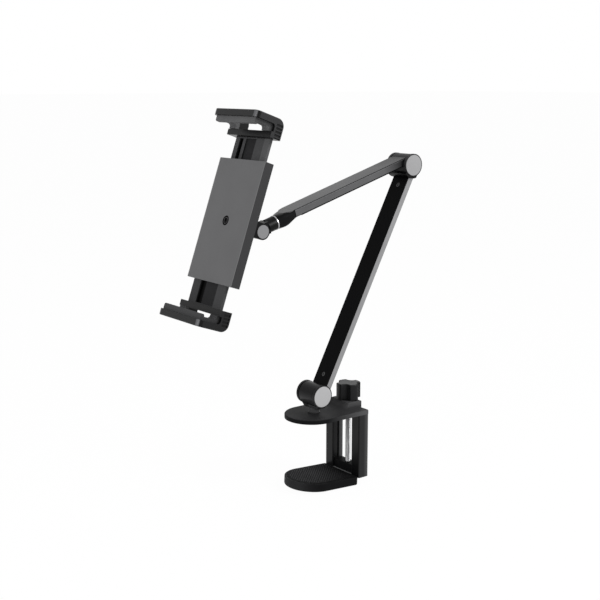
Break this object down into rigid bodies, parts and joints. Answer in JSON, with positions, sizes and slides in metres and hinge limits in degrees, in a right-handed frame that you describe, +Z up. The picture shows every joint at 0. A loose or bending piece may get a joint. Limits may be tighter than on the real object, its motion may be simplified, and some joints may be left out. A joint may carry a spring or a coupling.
{
  "type": "clamp-on tablet and phone stand",
  "caption": "Desk-clamp stand with two folding arms, a swivelling base and wrist, and a turning holder whose two coupled hooked jaws grip a tablet or a phone.",
  "frame": {"origin": "centre of the round front of the clamp, on the face that rests on the desk top", "axes": "+Z up, +X along the arm hinges, -Y from the clamp out over the desk towards the user"},
  "size_m": [0.068, 0.2619, 0.3488],
  "materials": {
    "clamp_black": "semi-gloss black powder coat",
    "pad_rubber": "matt dimpled rubber",
    "liner_rubber": "matt light grey silicone",
    "steel": "bright turned steel",
    "knob_plastic": "matt moulded plastic",
    "washer_plastic": "smooth nylon",
    "barrel_black": "black anodised, satin",
    "cap_silver": "brushed, clear anodised",
    "channel_silver": "satin anodised",
    "channel_grey": "satin grey anodised",
    "strip_black": "satin moulded plastic",
    "holder_grey": "satin grey anodised",
    "holder_black": "matt moulded plastic",
    "brass": "turned"
  },
  "bodies": {
    "clamp": {"clamp_top_plate": "clamp_black", "upper_desk_pad": "pad_rubber", "clamp_column": "clamp_black", "column_screws": "steel", "knob_washer": "washer_plastic"},
    "clamp_jaw": {"clamp_lower_jaw": "clamp_black", "lower_desk_pad": "pad_rubber", "lower_jaw_nut": "brass"},
    "knob": {"clamp_knob": "knob_plastic", "lead_screw": "steel", "screw_circlip": "steel"},
    "swivel": {"shoulder_yoke": "barrel_black", "swivel_washer": "washer_plastic", "swivel_bolt": "steel", "shoulder_pin": "steel", "shoulder_caps": "cap_silver", "shoulder_washers": "washer_plastic"},
    "lower_arm": {"lower_arm_knuckle": "barrel_black", "lower_arm_channel": "channel_silver", "lower_arm_strip": "strip_black", "lower_arm_screws": "steel", "elbow_fork": "barrel_black", "elbow_pin": "steel", "elbow_caps": "cap_silver", "elbow_washers": "washer_plastic"},
    "upper_arm": {"elbow_eye": "barrel_black", "upper_arm_channel": "channel_grey", "upper_arm_strip": "strip_black", "upper_arm_nose": "barrel_black", "wrist_ring": "cap_silver", "nose_set_screw": "steel"},
    "wrist": {"wrist_sleeve": "barrel_black"},
    "bracket": {"holder_bracket": "barrel_black", "wrist_pin": "steel", "wrist_caps": "cap_silver", "centre_screw": "steel"},
    "holder": {"holder_front_shell": "holder_grey", "holder_back_cover": "holder_black", "holder_cover_screws": "steel"},
    "pinion": {"rack_pinion": "washer_plastic"},
    "top_grip": {"top_slider": "holder_black", "top_jaw": "holder_black", "top_jaw_liner": "liner_rubber", "top_jaw_screws": "steel"},
    "bottom_grip": {"bottom_slider": "holder_black", "bottom_jaw": "holder_black", "bottom_jaw_liner": "liner_rubber", "bottom_jaw_screws": "steel"}
  },
  "joints": [
    {"name": "clamp_jaw_slide", "type": "slide", "parent": "clamp", "child": "clamp_jaw", "axis": [0, 0, 1], "range_m": [0, 0.046]},
    {"name": "knob_turn", "type": "hinge", "parent": "clamp", "child": "knob", "pos_m": [0, 0.044, 0], "axis": [0, 0, 1], "range_deg": [-20800, 0]},
    {"name": "base_swivel", "type": "hinge", "parent": "clamp", "child": "swivel", "pos_m": [0, 0.003, 0], "axis": [0, 0, 1], "range_deg": [-180, 180]},
    {"name": "shoulder_tilt", "type": "hinge", "parent": "swivel", "child": "lower_arm", "pos_m": [0, 0.003, 0.0218], "axis": [1, 0, 0], "range_deg": [-34, 75]},
    {"name": "elbow_fold", "type": "hinge", "parent": "lower_arm", "child": "upper_arm", "pos_m": [0, 0.11013, 0.22759], "axis": [1, 0, 0], "range_deg": [-135, 20]},
    {"name": "wrist_roll", "type": "hinge", "parent": "upper_arm", "child": "wrist", "pos_m": [0, -0.0594, 0.17804], "axis": [0, -0.9553, -0.2957], "range_deg": [-180, 180]},
    {"name": "wrist_tilt", "type": "hinge", "parent": "wrist", "child": "bracket", "pos_m": [0, -0.0594, 0.17804], "axis": [1, 0, 0], "range_deg": [-50, 110]},
    {"name": "holder_spin", "type": "hinge", "parent": "bracket", "child": "holder", "pos_m": [0, -0.09183, 0.18952], "axis": [0, -0.9426, 0.3338], "continuous": true},
    {"name": "top_jaw_slide", "type": "slide", "parent": "holder", "child": "top_grip", "axis": [0, 0.3338, 0.9426], "range_m": [-0.02, 0.018]},
    {"name": "bottom_jaw_slide", "type": "slide", "parent": "holder", "child": "bottom_grip", "axis": [0, -0.3338, -0.9426], "range_m": [-0.02, 0.018]},
    {"name": "pinion_turn", "type": "hinge", "parent": "holder", "child": "pinion", "pos_m": [0, -0.09183, 0.18952], "axis": [0, -0.9426, 0.3338], "range_deg": [-170, 155]}
  ],
  "couplings": [
    {"joint": "knob_turn", "follows": "clamp_jaw_slide", "rad_per_m": -7854},
    {"joint": "bottom_jaw_slide", "follows": "top_jaw_slide", "ratio": 1},
    {"joint": "pinion_turn", "follows": "top_jaw_slide", "rad_per_m": 142.86}
  ]
}
